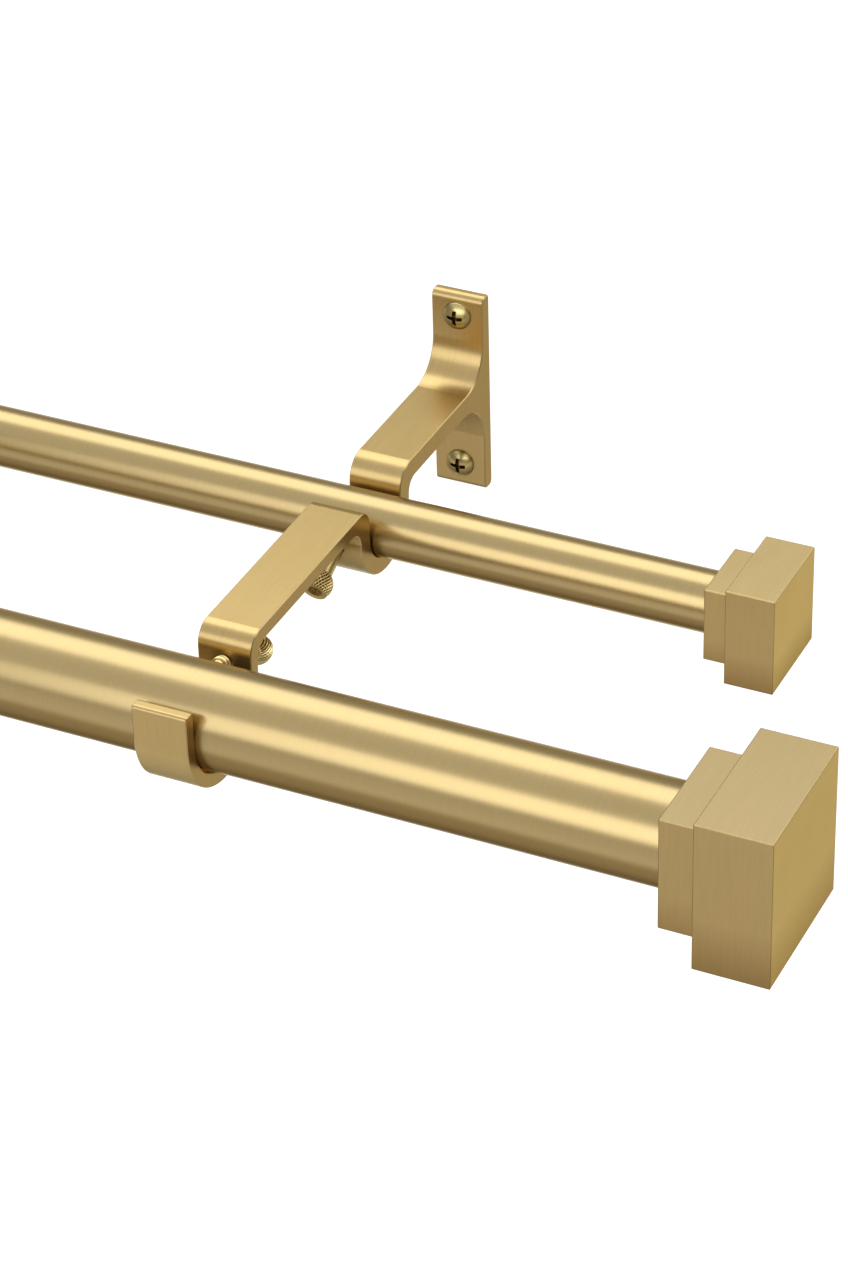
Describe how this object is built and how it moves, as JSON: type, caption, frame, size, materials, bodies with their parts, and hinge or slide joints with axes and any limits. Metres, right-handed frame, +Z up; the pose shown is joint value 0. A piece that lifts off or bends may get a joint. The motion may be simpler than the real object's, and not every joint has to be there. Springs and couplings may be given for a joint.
{
  "type": "double curtain pole",
  "caption": "Double telescoping curtain pole on extruded wall brackets, a thick front pole and a thin rear pole with stepped square finials.",
  "frame": {"origin": "on the wall's face, in the middle of the four wall screws", "axes": "+X along the poles, +Y into the wall, +Z up; the room is on the -Y side"},
  "size_m": [0.77, 0.1828, 0.0579],
  "materials": {
    "tube": "satin brass plating brushed round the tube",
    "bracket": "satin brass finish brushed along the strip",
    "finial": "satin brass finish, brushed faces and sharp edges",
    "thumbscrew": "bright brass, knurled head",
    "wall_screw": "bright brass plating",
    "stud": "plain zinc",
    "plastic": "natural white nylon"
  },
  "bodies": {
    "root": {"bracket_left": "bracket", "bracket_right": "bracket", "front_end_plug_right": "plastic", "front_finial_right": "finial", "front_outer_tube": "tube", "front_slide_bush": "plastic", "front_stud_right": "stud", "rear_end_plug_right": "plastic", "rear_finial_right": "finial", "rear_outer_tube": "tube", "rear_slide_bush": "plastic", "rear_stud_right": "stud", "wall_screw_left_lower": "wall_screw", "wall_screw_left_upper": "wall_screw", "wall_screw_right_lower": "wall_screw", "wall_screw_right_upper": "wall_screw"},
    "front_thumbscrew_left": {"front_thumbscrew_left": "thumbscrew"},
    "front_thumbscrew_right": {"front_thumbscrew_right": "thumbscrew"},
    "rear_thumbscrew_left": {"rear_thumbscrew_left": "thumbscrew"},
    "rear_thumbscrew_right": {"rear_thumbscrew_right": "thumbscrew"},
    "front_extension": {"front_inner_tube": "tube", "front_guide_ring": "plastic", "front_end_plug_left": "plastic", "front_stud_left": "stud", "front_finial_left": "finial"},
    "rear_extension": {"rear_inner_tube": "tube", "rear_guide_ring": "plastic", "rear_end_plug_left": "plastic", "rear_stud_left": "stud", "rear_finial_left": "finial"}
  },
  "joints": [
    {"name": "front_extension_slide", "type": "slide", "parent": "root", "child": "front_extension", "axis": [-1, 0, 0], "range_m": [0, 0.508]},
    {"name": "rear_extension_slide", "type": "slide", "parent": "root", "child": "rear_extension", "axis": [-1, 0, 0], "range_m": [0, 0.508]},
    {"name": "front_thumbscrew_right_travel", "type": "slide", "parent": "root", "child": "front_thumbscrew_right", "axis": [0, 0.9336, -0.3584], "range_m": [0, 0.004]},
    {"name": "rear_thumbscrew_right_travel", "type": "slide", "parent": "root", "child": "rear_thumbscrew_right", "axis": [0, -0.9063, -0.4226], "range_m": [0, 0.004]},
    {"name": "front_thumbscrew_left_travel", "type": "slide", "parent": "root", "child": "front_thumbscrew_left", "axis": [0, 0.9336, -0.3584], "range_m": [0, 0.004]},
    {"name": "rear_thumbscrew_left_travel", "type": "slide", "parent": "root", "child": "rear_thumbscrew_left", "axis": [0, -0.9063, -0.4226], "range_m": [0, 0.004]}
  ]
}
